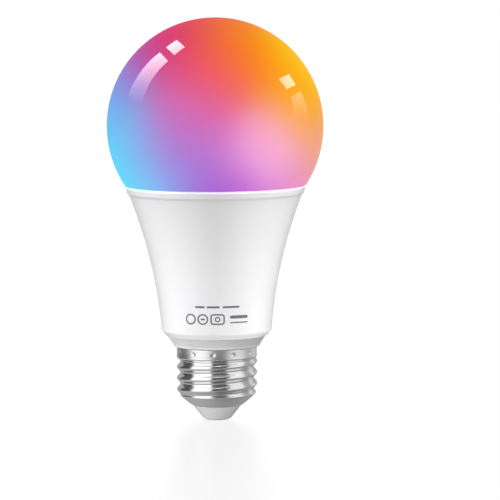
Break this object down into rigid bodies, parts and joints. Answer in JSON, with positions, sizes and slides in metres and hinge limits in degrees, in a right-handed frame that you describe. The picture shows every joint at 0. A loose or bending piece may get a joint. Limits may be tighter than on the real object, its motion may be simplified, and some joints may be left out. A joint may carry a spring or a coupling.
{
  "type": "smart light bulb",
  "caption": "Globe-shaped smart LED light bulb with a milky diffuser, a flared white housing, a neck collar and a medium Edison screw cap.",
  "frame": {"origin": "centre of the tip contact's flat end face, on the bulb's axis", "axes": "+Z runs along the bulb's axis from the screw cap to the globe; the driver board lies in the XZ plane and the LED board's radio module stands on the +Y side"},
  "size_m": [0.07, 0.07, 0.1304],
  "materials": {
    "diffuser": "milky satin polycarbonate",
    "sealant": "clear silicone, dull",
    "housing": "fine satin, moulded white plastic",
    "heatsink": "drawn and pressed, satin",
    "thermal_pad": "soft grey-blue gap pad",
    "led_board": "white solder mask",
    "led_frame": "moulded white resin",
    "cool_phosphor": "pale yellow phosphor in silicone",
    "warm_phosphor": "orange phosphor in silicone",
    "clear_lens": "clear resin",
    "steel": "zinc plated",
    "radio_board": "dark blue solder mask",
    "driver_board": "green solder mask on glass fibre",
    "shield": "tinned steel",
    "copper": "bare copper",
    "gold_pin": "plated pins",
    "black_plastic": "moulded black",
    "can": "bright drawn can",
    "can_sleeve": "shrunk dark film",
    "film_case": "moulded yellow case",
    "varistor": "blue dipped resin",
    "tinned": "tinned",
    "ferrite": "sintered ferrite",
    "winding": "enamelled copper wire",
    "tape": "yellow polyester tape",
    "bobbin": "moulded phenolic",
    "resistor_body": "black glaze on ceramic",
    "capacitor_body": "bare ceramic",
    "fuse_body": "flameproof paint",
    "shrink": "woven glass sleeve",
    "lead": "white insulated wire",
    "collar": "grey-white moulded plastic",
    "screw_cap": "bright nickel plate, lightly rolled",
    "insulator": "glazed light grey",
    "contact": "nickel plated, slightly worn"
  },
  "bodies": {
    "root": {"diffuser": "diffuser", "adhesive_bead": "sealant", "housing_shell": "housing", "heatsink_cup": "heatsink", "heatsink_plate": "heatsink", "thermal_pad": "thermal_pad", "led_board": "led_board", "white_led_frames": "led_frame", "cool_white_windows": "cool_phosphor", "warm_white_windows": "warm_phosphor", "rgb_led_frames": "led_frame", "rgb_led_windows": "clear_lens", "board_screws": "steel", "radio_board": "radio_board", "radio_shield": "shield", "radio_antenna": "copper", "radio_pins": "gold_pin", "radio_pin_spacer": "black_plastic", "driver_board": "driver_board", "header_pins": "gold_pin", "header_body": "black_plastic", "capacitor_cans": "can", "capacitor_sleeves": "can_sleeve", "film_capacitor": "film_case", "varistor": "varistor", "component_leads": "tinned", "choke_core": "ferrite", "choke_winding": "winding", "transformer_core": "ferrite", "transformer_bobbin": "bobbin", "transformer_winding": "tape", "driver_chips": "black_plastic", "bridge_rectifier": "black_plastic", "chip_legs": "tinned", "chip_resistors": "resistor_body", "chip_capacitors": "capacitor_body", "chip_terminals": "tinned", "solder_joints": "tinned", "fusible_resistor": "fuse_body", "heat_shrink_sleeve": "shrink", "live_lead": "lead", "neutral_lead": "lead", "base_collar": "collar", "screw_shell": "screw_cap", "insulator": "insulator", "tip_contact": "contact"}
  },
  "joints": []
}
